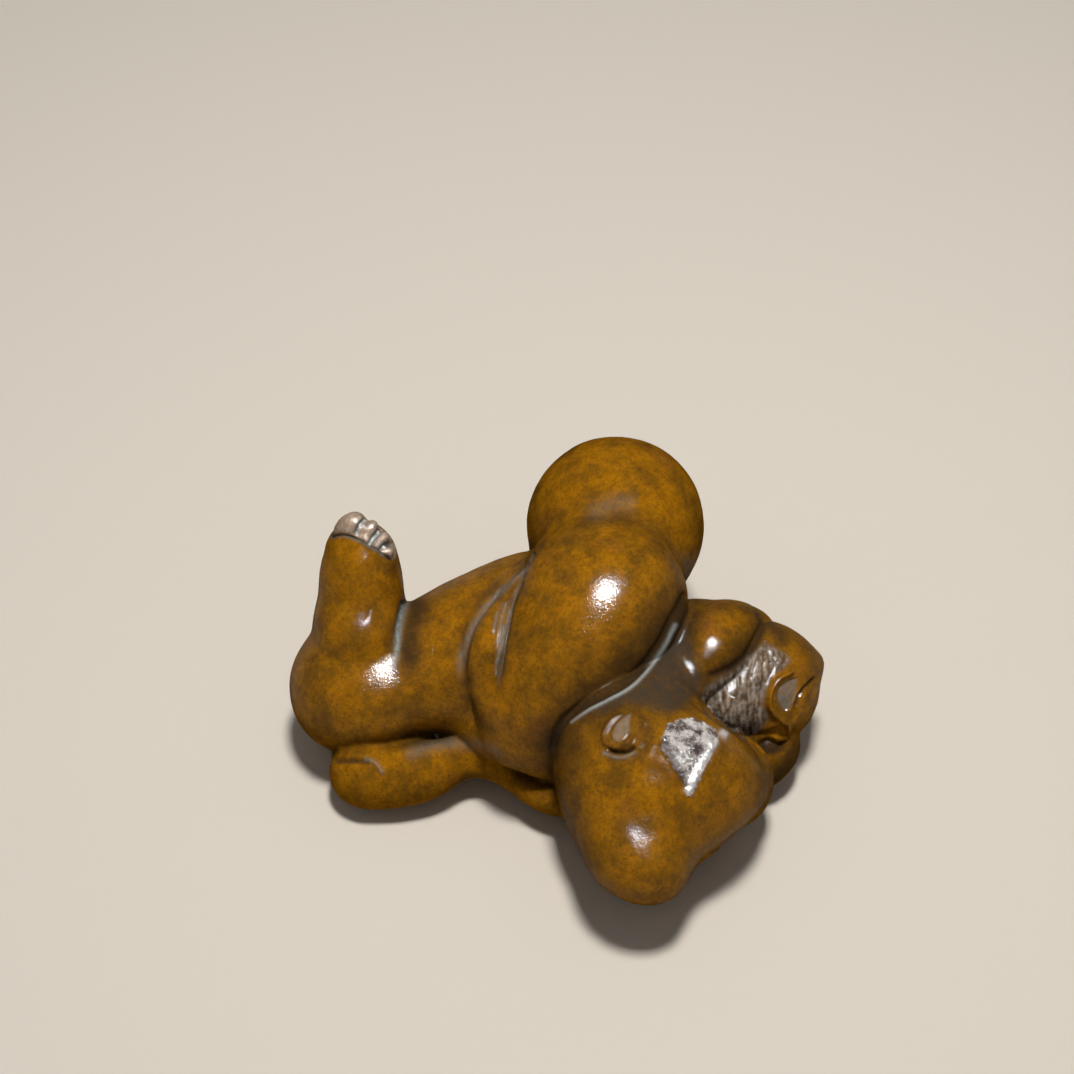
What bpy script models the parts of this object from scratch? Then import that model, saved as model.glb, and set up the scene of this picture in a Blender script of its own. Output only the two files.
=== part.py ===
"""A small cast brass tea ornament: two chubby children tumbling over each other.

The figure lies along X. The raised foot is at the left, the two heads are at the right,
and it rests on the flats of a cheek, an elbow, a knee, a shin and a hand.
"""

import bmesh
import bpy
import numpy as np
from mathutils import Matrix, Vector

# Driving dimensions, in metres
FIGURE_LENGTH = 0.050
FLAT_DEPTH = 0.00015

# All forms are given in fiftieths of the figure's length, as (x, y, z, radius) of the balls
# that a form is strung from. Z is the height above the table before the flats are cut.
FIFTIETH = FIGURE_LENGTH / 50

NEAR_CHILD = {
    "knee": [(-18.7, -0.1, 7.2, 6.3)],
    "calf": [
        (-18.4, 0.3, 8.0, 5.8),
        (-18.0, 2.2, 10.9, 4.7),
        (-18.1, 4.1, 14.4, 4.0),
        (-18.0, 5.4, 17.6, 3.8),
        (-17.9, 6.3, 19.5, 3.1),
    ],
    "sole": [(-18.9, 6.8, 20.1, 2.2), (-17.6, 6.7, 20.1, 1.9), (-16.0, 5.7, 19.8, 1.3)],
    "thigh": [
        (-17.1, -0.2, 8.4, 5.2),
        (-11.3, 1.4, 9.0, 6.3),
        (-6.7, 2.5, 9.6, 7.4),
        (-1.6, 3.0, 10.7, 8.5),
    ],
    "fat_roll": [
        (-2.4, 6.8, 17.4, 0.7),
        (-4.0, 3.7, 17.2, 1.7),
        (-5.0, 1.8, 15.5, 3.0),
        (-5.2, -0.3, 13.8, 3.7),
        (-5.0, -1.6, 11.3, 4.0),
        (-4.1, -3.7, 10.6, 3.8),
        (-3.0, -5.9, 10.0, 3.4),
        (-1.8, -7.0, 8.5, 2.6),
    ],
    "fold_under_roll": [(-8.1, -3.0, 5.9, 2.2), (-6.2, -4.3, 6.8, 2.5), (-4.1, -7.2, 8.8, 2.0)],
    "near_seat": [
        (4.1, 3.2, 16.4, 8.1),
        (2.4, 0.1, 14.9, 7.2),
        (0.2, -4.0, 12.3, 5.4),
        (-0.7, -6.0, 9.2, 3.7),
        (-0.5, -7.6, 7.7, 2.4),
    ],
    "far_seat": [(5.6, 13.1, 15.4, 8.4)],
    "far_thigh": [(5.4, 12.4, 11.8, 7.2), (1.6, 10.9, 7.4, 5.5), (-3.6, 9.1, 4.3, 4.4)],
    "far_shin": [(-3.6, 9.1, 4.3, 4.4), (2.6, 9.5, 3.5, 3.6), (8.7, 8.5, 3.1, 3.2)],
    "belly": [(-4.0, -1.0, 7.7, 6.2), (4.2, -1.0, 9.2, 8.2), (9.3, -1.0, 8.7, 6.7)],
}

UNDER_CHILD = {
    "elbow_and_arm": [
        (-17.8, -6.9, 3.6, 3.7),
        (-14.6, -7.1, 3.7, 3.3),
        (-11.8, -7.0, 4.0, 2.7),
        (-9.3, -6.1, 4.3, 1.9),
        (-7.0, -6.0, 4.3, 1.7),
        (-4.6, -7.2, 4.1, 1.5),
        (-2.5, -8.9, 4.0, 1.5),
        (-0.1, -10.2, 4.0, 1.7),
        (3.9, -10.0, 5.1, 2.0),
    ],
    "skull_and_crown": [(8.1, -12.2, 9.2, 8.2), (9.4, -12.2, 10.9, 6.7), (10.5, -12.2, 12.4, 5.0)],
    "skull_and_cheek": [(8.1, -12.2, 9.2, 8.2), (7.6, -15.6, 9.4, 6.3), (7.1, -19.0, 9.3, 4.4)],
    "cheek": [(6.0, -18.4, 10.3, 4.4), (7.1, -19.0, 9.3, 4.4), (8.2, -19.6, 8.5, 4.1)],
    "jowl": [(7.1, -19.0, 9.0, 4.3), (7.5, -18.0, 6.0, 4.3), (7.6, -16.6, 3.6, 3.5)],
    "skull_and_temple": [(8.1, -12.2, 9.2, 8.2), (11.1, -12.7, 9.9, 6.2), (13.7, -13.1, 10.5, 4.3)],
    "temple": [(13.7, -13.1, 10.5, 4.3), (15.1, -11.8, 9.0, 4.1)],
    "skull_and_brow": [(8.6, -11.8, 8.8, 7.9), (12.4, -10.8, 7.7, 5.9), (15.2, -10.0, 6.7, 4.5)],
    "nape": [
        (12.7, 2.5, 12.2, 3.5),
        (11.0, 0.2, 11.9, 3.9),
        (8.5, -3.3, 11.7, 4.6),
        (6.0, -8.7, 11.6, 5.9),
    ],
    "far_cheek": [(11.7, -9.4, 4.5, 4.5)],
    "nose": [(14.0, -14.5, 3.3, 0.9)],
    "forelock": [
        (9.3, -12.4, 17.2, 0.8),
        (10.5, -11.5, 16.8, 1.0),
        (11.9, -10.8, 16.3, 1.0),
        (12.9, -11.0, 15.9, 0.9),
        (14.4, -10.8, 15.0, 0.8),
        (13.3, -13.0, 16.0, 0.7),
        (12.3, -15.0, 15.8, 0.7),
        (11.5, -16.8, 14.8, 0.5),
    ],
}

FAR_CHILD = {
    "shoulder": [(17.0, 2.7, 13.4, 2.0), (14.6, 0.8, 13.3, 3.6), (12.8, -1.7, 12.9, 2.8)],
    "shoulder_blade": [(15.2, 1.3, 13.3, 3.3), (13.3, 2.4, 12.7, 3.0)],
    "arm": [(16.1, 2.7, 10.8, 3.9), (18.7, 6.6, 6.2, 2.7), (20.0, 6.4, 2.3, 2.4)],
    "skull": [(18.9, -0.3, 8.8, 5.3), (20.5, -0.7, 7.8, 4.2), (20.4, -2.4, 7.1, 3.1)],
    "hair": [
        (15.5, -3.3, 9.8, 3.3),
        (17.3, 0.2, 10.7, 4.0),
        (20.3, 0.9, 10.5, 3.1),
        (22.6, 0.8, 9.7, 1.9),
        (24.1, 1.3, 9.4, 0.9),
    ],
    "cheek": [(19.6, -4.5, 4.7, 3.5), (18.7, -6.2, 4.0, 2.8)],
    "far_cheek": [(20.4, 2.7, 4.7, 3.4)],
    "nose": [(23.7, 0.5, 4.7, 1.0)],
}

# The toes fan out over the upper face of the foot, biggest first
TOES = [
    [(-19.5, 6.9, 21.5, 1.0), (-18.7, 6.8, 22.8, 1.1), (-18.0, 7.1, 23.1, 0.95)],
    [(-17.6, 6.2, 21.8, 0.65), (-16.6, 6.8, 22.9, 0.65)],
    [(-16.4, 5.7, 21.3, 0.55), (-15.5, 6.1, 22.2, 0.6)],
    [(-15.4, 5.2, 20.8, 0.5), (-15.0, 5.3, 21.1, 0.5)],
]

# Each ear is an open rim round a cup, (x, y, z) along the rim
EAR_RIM_RADIUS = 0.55
UNDER_CHILD_EAR = [
    (6.3, -10.5, 17.7),
    (4.8, -10.7, 17.4),
    (3.8, -11.5, 16.9),
    (4.0, -12.7, 16.7),
    (5.0, -13.5, 16.9),
    (6.1, -13.4, 17.2),
    (6.7, -12.5, 17.5),
]
FAR_CHILD_EAR = [
    (22.0, -1.7, 12.6),
    (20.6, -2.5, 12.9),
    (19.5, -3.6, 12.4),
    (19.4, -4.4, 11.4),
    (20.0, -4.9, 10.0),
    (21.0, -5.0, 8.6),
]

# How the balls are set: their spacing along a string as a share of their radius, and their
# roundness, where a ball smaller than SMALL_BALL is the coarser one
SPACING_SHARE = 0.25
SMALL_BALL = 2 * FIFTIETH
ROUNDNESS = 4
SMALL_ROUNDNESS = 3

# How the surface is made: grid size and how far it is softened, then its number of triangles
GRID_SIZE = 0.3 * FIFTIETH
SOFTENING = 0.5
SOFTENING_ROUNDS = 6
TRIANGLES = 9000

PATINA_BROWN = (0.20, 0.09, 0.02, 1.0)
PATINA_METALLIC = 0.6
PATINA_ROUGHNESS = 0.3


def clear_scene():
    for old in list(bpy.data.objects):
        bpy.data.objects.remove(old)


def along_curve(points):
    """Balls close together along the smooth curve through the given balls."""
    ends = [2 * points[0] - points[1], *points, 2 * points[-1] - points[-2]]
    balls = []
    for before, start, end, after in zip(ends, ends[1:], ends[2:], ends[3:]):
        span = np.linalg.norm(end[:3] - start[:3])
        count = max(2, int(np.ceil(span / (SPACING_SHARE * min(start[3], end[3])))))
        for t in np.arange(count) / count:
            slope = end - before
            bend = 2 * before - 5 * start + 4 * end - after
            twist = 3 * start - 3 * end + after - before
            balls.append(start + 0.5 * (slope * t + bend * t**2 + twist * t**3))
    return [*balls, points[-1]]


def add_ball(form, ball):
    x, y, z, radius = ball * FIFTIETH
    roundness = ROUNDNESS if radius > SMALL_BALL else SMALL_ROUNDNESS
    place = Matrix.Translation((x, y, z))
    bmesh.ops.create_icosphere(form, subdivisions=roundness, radius=radius, matrix=place)


def add_string(form, points):
    points = [np.array(point) for point in points]
    for ball in along_curve(points) if len(points) > 1 else points:
        add_ball(form, ball)


def add_figures(form):
    for child in (NEAR_CHILD, UNDER_CHILD, FAR_CHILD):
        for points in child.values():
            add_string(form, points)
    for toe in TOES:
        add_string(form, toe)
    for rim in (UNDER_CHILD_EAR, FAR_CHILD_EAR):
        add_string(form, [(*point, EAR_RIM_RADIUS) for point in rim])


def patinated_brass():
    material = bpy.data.materials.new("patinated_brass")
    material.use_nodes = True
    shader = material.node_tree.nodes["Principled BSDF"]
    shader.inputs["Base Color"].default_value = PATINA_BROWN
    shader.inputs["Metallic"].default_value = PATINA_METALLIC
    shader.inputs["Roughness"].default_value = PATINA_ROUGHNESS
    return material


def evaluated_mesh(figure):
    bpy.context.view_layer.update()
    graph = bpy.context.evaluated_depsgraph_get()
    return bpy.data.meshes.new_from_object(figure.evaluated_get(graph))


def fuse(figure):
    """Melts the balls into one skin, softens it and thins it to its number of triangles."""
    remesh = figure.modifiers.new("one_skin", "REMESH")
    remesh.mode = "VOXEL"
    remesh.voxel_size = GRID_SIZE
    soften = figure.modifiers.new("soften", "SMOOTH")
    soften.factor = SOFTENING
    soften.iterations = SOFTENING_ROUNDS
    skin = evaluated_mesh(figure)
    skin.calc_loop_triangles()
    thin = figure.modifiers.new("thin", "DECIMATE")
    thin.use_collapse_triangulate = True
    thin.ratio = TRIANGLES / len(skin.loop_triangles)
    bpy.data.meshes.remove(skin)
    figure.data = evaluated_mesh(figure)
    figure.modifiers.clear()


def rest_flat(figure):
    """Cuts the flats that the figure rests on, and sets the middle of its base at the origin."""
    form = bmesh.new()
    form.from_mesh(figure.data)
    whole = [*form.verts, *form.edges, *form.faces]
    table = {"plane_co": (0, 0, FLAT_DEPTH), "plane_no": (0, 0, -1)}
    bmesh.ops.bisect_plane(form, geom=whole, clear_outer=True, **table)
    rims = [edge for edge in form.edges if edge.is_boundary]
    bmesh.ops.holes_fill(form, edges=rims, sides=0)
    places = np.array([vertex.co for vertex in form.verts])
    low, high = places.min(axis=0), places.max(axis=0)
    middle = Vector((*(low + high)[:2] / 2, low[2]))
    bmesh.ops.translate(form, verts=form.verts, vec=-middle)
    bmesh.ops.recalc_face_normals(form, faces=form.faces)
    form.to_mesh(figure.data)
    form.free()


def make_tumbling_children(collection):
    form = bmesh.new()
    add_figures(form)
    mesh = bpy.data.meshes.new("tumbling_children")
    form.to_mesh(mesh)
    form.free()
    figure = bpy.data.objects.new("tumbling_children", mesh)
    collection.objects.link(figure)
    fuse(figure)
    rest_flat(figure)
    figure.data.materials.clear()
    figure.data.materials.append(patinated_brass())
    figure.data.shade_smooth()


def main():
    clear_scene()
    collection = bpy.data.collections.new("tea_pet")
    bpy.context.scene.collection.children.link(collection)
    make_tumbling_children(collection)


main()
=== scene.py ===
"""Looks of a small cast brass tea ornament: two chubby children tumbling over each other.

The children are strung from balls, melted into one skin and settled on the smooth field of
those balls. The skin is then chased with creases, ears, hair, toes and faces, and gets a waxed
brown patina with painted shade in its creases, on its undersides and at its rims, and painted
glints and sheens.
"""

import math

import bmesh
import bpy
import numpy as np
from mathutils import Matrix, Vector, noise
from mathutils.bvhtree import BVHTree


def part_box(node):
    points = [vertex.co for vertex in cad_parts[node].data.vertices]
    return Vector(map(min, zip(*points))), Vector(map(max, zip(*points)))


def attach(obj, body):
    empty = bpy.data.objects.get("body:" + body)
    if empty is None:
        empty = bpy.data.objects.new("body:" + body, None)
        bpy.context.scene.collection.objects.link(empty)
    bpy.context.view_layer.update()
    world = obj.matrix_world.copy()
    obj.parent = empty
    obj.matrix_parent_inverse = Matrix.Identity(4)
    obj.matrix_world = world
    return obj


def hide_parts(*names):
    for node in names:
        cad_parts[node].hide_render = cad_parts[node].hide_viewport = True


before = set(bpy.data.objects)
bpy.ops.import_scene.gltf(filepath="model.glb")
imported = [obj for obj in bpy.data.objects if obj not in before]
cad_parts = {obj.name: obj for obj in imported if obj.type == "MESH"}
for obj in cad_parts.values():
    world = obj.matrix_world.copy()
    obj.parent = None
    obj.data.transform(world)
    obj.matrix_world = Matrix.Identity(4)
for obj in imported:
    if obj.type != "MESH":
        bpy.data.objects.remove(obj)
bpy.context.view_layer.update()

bl_info = {
    "name": "Tumbling children tea pet",
    "version": (1, 0, 0),
    "blender": (4, 5, 0),
    "location": "3D Viewport > Sidebar > Tea Pet",
    "description": "Models a small patinated brass tea ornament and the stage it is shown on",
    "category": "Object",
}

NODE = "tumbling_children"
CAD_LOW, CAD_HIGH = (np.array(corner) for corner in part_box(NODE))

# The photo's camera: 50 degrees above the table, level, from the front. The draft is in millimetres,
# for a figure a little under 50 mm long, with its origin on the table.
PHOTO_MIDDLE = 537
LENS_MM = 70
SENSOR_MM = 36
PIXELS_PER_SLOPE = PHOTO_MIDDLE / (SENSOR_MM / 2 / LENS_MM)
ELEVATION = math.radians(50)
VIEW_RIGHT = np.array([1.0, 0.0, 0.0])
VIEW_UP = np.array([0.0, math.sin(ELEVATION), math.cos(ELEVATION)])
VIEW_BACK = np.array([0.0, -math.cos(ELEVATION), math.sin(ELEVATION)])
DRAFT_LENGTH = 48.75
DRAFT_SHIFT = np.array([0.08, -0.95, 0.0])
DRAFT_DISTANCE = 196.0
DRAFT_AIM = -1.88 * VIEW_RIGHT + 19.04 * VIEW_UP
DRAFT_EYE = DRAFT_AIM + DRAFT_DISTANCE * VIEW_BACK

# The design is in fiftieths of the figure's length
FIFTIETHS_PER_MM = 50 / DRAFT_LENGTH
VIEW_DISTANCE = round(DRAFT_DISTANCE * FIFTIETHS_PER_MM, 1)
VIEW_AIM = np.round((DRAFT_AIM + DRAFT_SHIFT) * FIFTIETHS_PER_MM, 2)
VIEW_EYE = VIEW_AIM + VIEW_DISTANCE * VIEW_BACK


def drafted(x, y, z, radius):
    """A ball set straight in the draft's millimetres, given to a tenth of a fiftieth."""
    place = (np.array([x, y, z]) + DRAFT_SHIFT) * FIFTIETHS_PER_MM
    return tuple(round(float(value), 1) for value in (*place, radius * FIFTIETHS_PER_MM))


def sighted(across, down, height, pixels):
    """A ball read off the photo: its middle and radius in pixels, at a height over the table."""
    slope_right = (across - PHOTO_MIDDLE) / PIXELS_PER_SLOPE
    slope_down = (down - PHOTO_MIDDLE) / PIXELS_PER_SLOPE
    sight = slope_right * VIEW_RIGHT - slope_down * VIEW_UP - VIEW_BACK
    place = DRAFT_EYE + (height - DRAFT_EYE[2]) / sight[2] * sight
    depth = DRAFT_DISTANCE - (place - DRAFT_AIM) @ VIEW_BACK
    return drafted(*place, pixels * depth / PIXELS_PER_SLOPE)


# The balls on each string. Z is the height above the table before the resting flats are cut.
# Those neither sighted nor drafted are (x, y, z, radius), straight in fiftieths.
FLAT_DEPTH = 0.15

FORMS = {
    "knee": [sighted(357, 689, 7.0, 67)],
    "knee_front": [sighted(372, 689, 7.9, 60)],
    "calf_bulge": [(-18.3, 2.1, 13.5, 4.0)],
    "calf": [
        sighted(360, 680, 7.8, 62),
        sighted(364, 645, 10.6, 50),
        sighted(361, 606, 14.0, 43),
        sighted(361, 573, 17.2, 41),
        sighted(361, 553, 19.0, 34),
    ],
    "sole": [sighted(350, 544, 19.6, 24), sighted(364, 545, 19.6, 21), sighted(381, 556, 19.3, 14)],
    "thigh": [
        (-17.3, -0.7, 8.1, 5.1),
        sighted(436, 664, 8.8, 67),
        sighted(485, 651, 9.4, 79),
        sighted(540, 640, 10.4, 91),
    ],
    "fat_roll": [
        (-2.4, 6.8, 17.4, 0.7),
        (-4.0, 3.7, 17.2, 1.7),
        (-5.0, 1.8, 15.5, 3.0),
        (-5.2, -0.3, 13.8, 3.7),
    ],
    "roll_end": [
        (-5.2, -0.3, 13.8, 3.7),
        (-5.0, -1.6, 11.3, 4.0),
        (-4.1, -3.7, 10.6, 3.8),
        (-3.0, -5.9, 10.0, 3.4),
        (-1.8, -7.0, 8.5, 2.6),
    ],
    "fold_under_roll": [(-8.1, -3.0, 5.9, 2.1), (-6.2, -4.3, 6.8, 2.4), (-4.1, -7.2, 8.8, 2.0)],
    "near_seat": [
        sighted(602, 600, 16.0, 88),
        sighted(584, 637, 14.5, 79),
        sighted(560, 690, 12.0, 60),
        sighted(550, 728, 9.0, 41),
        sighted(552, 752, 7.5, 26),
    ],
    "far_seat": [sighted(615, 525, 15.0, 88)],
    "far_thigh": [
        drafted(5.2, 13.0, 11.5, 7.0), drafted(1.5, 11.6, 7.2, 5.4), drafted(-3.6, 9.8, 4.2, 4.3),
    ],
    "far_shin": [
        drafted(-3.6, 9.8, 4.2, 4.3), drafted(2.5, 10.2, 3.4, 3.5), drafted(8.4, 9.2, 3.0, 3.1),
    ],
    "belly": [drafted(-4.0, 0.0, 7.5, 6.0), drafted(4.0, 0.0, 9.0, 8.0), drafted(9.0, 0.0, 8.5, 6.5)],
    "elbow_and_arm": [
        sighted(366, 771, 3.5, 40),
        sighted(400, 772, 3.6, 36),
        sighted(430, 769, 3.9, 29),
        sighted(457, 759, 4.2, 20.5),
        sighted(482, 758, 4.2, 18),
        sighted(507, 770, 4.0, 16),
        sighted(530, 786, 3.9, 16),
        sighted(556, 798, 3.9, 18),
        sighted(600, 790, 5.0, 22),
    ],
    "under_skull": [sighted(648, 785, 9.0, 92)],
    "under_crown": [sighted(677, 765, 12.1, 54)],
    "under_cheek": [(5.7, -18.5, 9.6, 4.1), (7.0, -19.4, 9.1, 4.2), sighted(652, 864, 8.5, 44)],
    "under_jowl": [sighted(642, 861, 3.55, 38.5)],
    "under_temple": [sighted(712, 786, 10.2, 48), sighted(726, 783, 8.8, 45)],
    "under_brow": [sighted(724, 780, 6.5, 49)],
    "nape": [
        sighted(694, 634, 11.9, 38),
        sighted(676, 656, 11.6, 42),
        sighted(650, 688, 11.4, 50),
        sighted(625, 738, 11.3, 66),
    ],
    "under_far_cheek": [drafted(11.3, -8.2, 4.4, 4.4)],
    "under_nose": [drafted(13.6, -13.2, 3.2, 0.9)],
    "shoulder": [sighted(741, 624, 13.1, 22), sighted(722, 637, 13.0, 36)],
    "shoulder_round": [sighted(709, 650, 13.3, 40)],
    "shoulder_knob": [sighted(692, 674, 12.6, 27)],
    "shoulder_blade": [sighted(722, 637, 13.0, 36), sighted(701, 632, 12.4, 32)],
    "far_arm": [
        drafted(15.6, 3.6, 10.5, 3.8), drafted(18.2, 7.4, 6.0, 2.6), drafted(19.4, 7.2, 2.2, 2.3),
    ],
    "far_skull": [sighted(760, 680, 8.6, 57), sighted(776, 690, 7.6, 45), sighted(776, 709, 6.9, 33)],
    "far_hair": [
        sighted(726, 700, 9.6, 36),
        sighted(744, 664, 10.4, 43),
        (20.3, 0.9, 10.5, 3.1),
        (22.6, 0.8, 9.7, 1.9),
        (24.1, 1.3, 9.4, 0.9),
    ],
    "far_cheek": [sighted(766, 742, 4.6, 37), sighted(758, 762, 3.9, 30)],
    "far_outer_cheek": [drafted(19.8, 3.6, 4.6, 3.3)],
    "far_nose": [drafted(23.0, 1.4, 4.6, 1.0)],
    "toe_1": [(-19.5, 6.9, 21.5, 1.0), (-18.7, 6.8, 22.8, 1.1), (-18.0, 7.1, 23.1, 0.95)],
    "toe_2": [(-17.6, 6.2, 21.8, 0.65), (-16.6, 6.8, 22.9, 0.65)],
    "toe_3": [(-16.4, 5.7, 21.3, 0.55), (-15.5, 6.1, 22.2, 0.6)],
    "toe_4": [(-15.4, 5.2, 20.8, 0.5), (-15.0, 5.3, 21.1, 0.5)],
}

# The forms of each group, and how far each melts into those before it, in fiftieths
HARD = 0.0
GROUPS = {
    "under_cheeks": [("under_jowl", 0), ("under_cheek", 2.0)],
    "under_brows": [("under_brow", 0), ("under_temple", 1.0)],
    "knees": [("knee", 0), ("knee_front", 0.5)],
    "calves": [("calf", 0), ("calf_bulge", 1.2)],
    "foot": [("sole", 0), ("toe_1", 0.25), ("toe_2", 0.25), ("toe_3", 0.25), ("toe_4", 0.25)],
    "leg": [("knees", 0), ("calves", 1.6), ("foot", 1.0), ("thigh", 1.0)],
    "seats": [("near_seat", 0), ("fat_roll", 0.8), ("roll_end", 2.5), ("far_seat", 2.2)],
    "far_leg": [("far_thigh", 0), ("far_shin", 0.6), ("far_seat", 1.5)],
    "shoulders": [
        ("shoulder", 0), ("shoulder_blade", 1.0), ("shoulder_round", 0.6), ("shoulder_knob", 1.5),
    ],
    "under_head": [
        ("under_skull", 0), ("under_crown", 2.0), ("under_cheeks", 2.0), ("under_brows", 2.0),
        ("nape", 3.0), ("under_far_cheek", 2.0), ("under_nose", 0.8), ("shoulders", 0.8),
    ],
    "far_head": [
        ("far_skull", 0), ("far_hair", 1.5), ("far_cheek", 0.5), ("far_outer_cheek", 2.0),
        ("far_nose", 0.8),
    ],
    "far_arm_and_shoulder": [("far_arm", 0), ("shoulders", 1.5)],
    "whole": [
        ("leg", 0), ("seats", HARD), ("far_leg", HARD), ("elbow_and_arm", HARD), ("belly", HARD),
        ("under_head", HARD), ("far_head", HARD), ("far_arm_and_shoulder", HARD),
        ("fold_under_roll", 2.0),
    ],
}


def on_curve(before, start, end, after, t):
    """The point at t, from 0 at start to 1 at end, of the smooth curve through four points."""
    slope = end - before
    bend = 2 * before - 5 * start + 4 * end - after
    twist = 3 * start - 3 * end + after - before
    return start + 0.5 * (slope * t + bend * t**2 + twist * t**3)


def along_curve(points, spacing_share):
    """Balls close together along the smooth curve through the given balls."""
    points = [np.array(point, float) for point in points]
    if len(points) == 1:
        return np.array(points)
    ends = [2 * points[0] - points[1], *points, 2 * points[-1] - points[-2]]
    balls = []
    for before, start, end, after in zip(ends, ends[1:], ends[2:], ends[3:]):
        span = np.linalg.norm(end[:3] - start[:3])
        count = max(2, math.ceil(span / (spacing_share * min(start[3], end[3]))))
        balls += [on_curve(before, start, end, after, t) for t in np.arange(count) / count]
    return np.array([*balls, points[-1]])


STRING_SOFTNESS = 0.35
NEAR_REACH = 4.0
FIELD_SPACING = 0.45
STRINGS = {name: along_curve(points, FIELD_SPACING) for name, points in FORMS.items()}
ALL_BALLS = np.vstack(list(STRINGS.values()))
DESIGN_LOW = (ALL_BALLS[:, :3] - ALL_BALLS[:, 3:]).min(axis=0)
DESIGN_HIGH = (ALL_BALLS[:, :3] + ALL_BALLS[:, 3:]).max(axis=0)


def string_field(places, balls):
    """Distance from each place to a string of balls fused into one round form, and the way out."""
    middle = balls[:, :3].mean(axis=0)
    extent = (np.linalg.norm(balls[:, :3] - middle, axis=1) + balls[:, 3]).max()
    arm = places - middle
    reach = np.linalg.norm(arm, axis=1)
    distance = reach - extent
    way = arm / reach[:, None]
    near = distance < NEAR_REACH
    if not near.any():
        return distance, way
    close = places[near]
    centres, radii = balls[:, :3], balls[:, 3]
    square = (close**2).sum(1)[:, None] - 2 * close @ centres.T + (centres**2).sum(1)[None]
    span = np.sqrt(np.maximum(square, 1e-9))
    depth = span - radii
    nearest = depth.min(axis=1)
    if len(balls) == 1:
        share = np.ones_like(depth)
        distance[near] = nearest
    else:
        step = np.linalg.norm(np.gradient(centres, axis=0), axis=1)
        weight = np.minimum(step / np.sqrt(2 * np.pi * radii * STRING_SOFTNESS), 1.0)
        share = np.exp(-(depth - nearest[:, None]) / STRING_SOFTNESS) * weight
        distance[near] = nearest - STRING_SOFTNESS * np.log(share.sum(axis=1))
    pull = share / span
    out = close * pull.sum(axis=1)[:, None] - pull @ centres
    way[near] = out / np.maximum(np.linalg.norm(out, axis=1), 1e-9)[:, None]
    return distance, way


def melt(first, second, reach):
    """The smooth union of two fields, filleted over the given reach."""
    nearer = first[0] <= second[0]
    low = np.where(nearer, first[0], second[0])
    low_way = np.where(nearer[:, None], first[1], second[1])
    if reach <= 0:
        return low, low_way
    high_way = np.where(nearer[:, None], second[1], first[1])
    overlap = np.maximum(reach - np.abs(first[0] - second[0]), 0) / reach
    way = low_way * (1 - overlap / 2)[:, None] + high_way * (overlap / 2)[:, None]
    return low - overlap**2 * reach / 4, way / np.linalg.norm(way, axis=1)[:, None]


def field(places, name="whole", known=None):
    """Distance to the melted figure, and the way out of it, at each place."""
    known = {} if known is None else known
    if name not in known:
        if name in STRINGS:
            known[name] = string_field(places, STRINGS[name])
        else:
            parts = GROUPS[name]
            joined = field(places, parts[0][0], known)
            for part, reach in parts[1:]:
                joined = melt(joined, field(places, part, known), reach)
            known[name] = joined
    return known[name]


# How fine the skin is: the first grid, then how often it is settled after each refinement
GRID_SIZE = 0.43
SKIN_SPACING = 0.3
SMALL_BALL = 2.0
SETTLE_ROUNDS = 4
REFINED_REACHES = (5.5, 2.0)


def balls_form():
    """All balls of all strings, loose, as one bmesh."""
    form = bmesh.new()
    for points in FORMS.values():
        for x, y, z, radius in along_curve(points, SKIN_SPACING):
            roundness = 3 if radius > SMALL_BALL else 2
            place = Matrix.Translation((x, y, z))
            bmesh.ops.create_icosphere(form, subdivisions=roundness, radius=radius, matrix=place)
    return form


def melted_skin():
    """One closed skin over all the balls, in fiftieths."""
    form = balls_form()
    mesh = bpy.data.meshes.new(NODE + "_balls")
    form.to_mesh(mesh)
    form.free()
    rough = bpy.data.objects.new(NODE + "_balls", mesh)
    bpy.context.scene.collection.objects.link(rough)
    remesh = rough.modifiers.new("one_skin", "REMESH")
    remesh.mode = "VOXEL"
    remesh.voxel_size = GRID_SIZE
    bpy.context.view_layer.update()
    graph = bpy.context.evaluated_depsgraph_get()
    skin = bpy.data.meshes.new_from_object(rough.evaluated_get(graph))
    bpy.data.objects.remove(rough)
    bpy.data.meshes.remove(mesh)
    return skin


def places_of(mesh):
    flat = np.empty(len(mesh.vertices) * 3, np.float32)
    mesh.vertices.foreach_get("co", flat)
    return flat.reshape(-1, 3).astype(float)


def set_places(mesh, places):
    mesh.vertices.foreach_set("co", places.astype(np.float32).ravel())
    mesh.update()


def edges_of(mesh):
    flat = np.empty(len(mesh.edges) * 2, np.int32)
    mesh.edges.foreach_get("vertices", flat)
    return flat.reshape(-1, 2)


def normals_of(mesh):
    flat = np.empty(len(mesh.vertices) * 3, np.float32)
    mesh.vertices.foreach_get("normal", flat)
    return flat.reshape(-1, 3).astype(float)


def neighbour_mean(values, edges):
    """Mean over each vertex's neighbours of a value or vector per vertex."""
    table = values.reshape(len(values), -1)
    count = np.bincount(edges.ravel(), minlength=len(values))[:, None]
    total = np.empty_like(table)
    for column in range(table.shape[1]):
        a = np.bincount(edges[:, 0], table[edges[:, 1], column], len(values))
        b = np.bincount(edges[:, 1], table[edges[:, 0], column], len(values))
        total[:, column] = a + b
    return (total / np.maximum(count, 1)).reshape(values.shape)


def settle(mesh, rounds=SETTLE_ROUNDS):
    """Evens the skin's grid out and lays it on the melted field."""
    places, edges = places_of(mesh), edges_of(mesh)
    for _ in range(rounds):
        distance, way = field(places)
        places = places - distance[:, None] * way
        slide = neighbour_mean(places, edges) - places
        places = places + 0.5 * (slide - (slide * way).sum(1)[:, None] * way)
    for _ in range(2):
        distance, way = field(places)
        places = places - distance[:, None] * way
    set_places(mesh, places)


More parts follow.
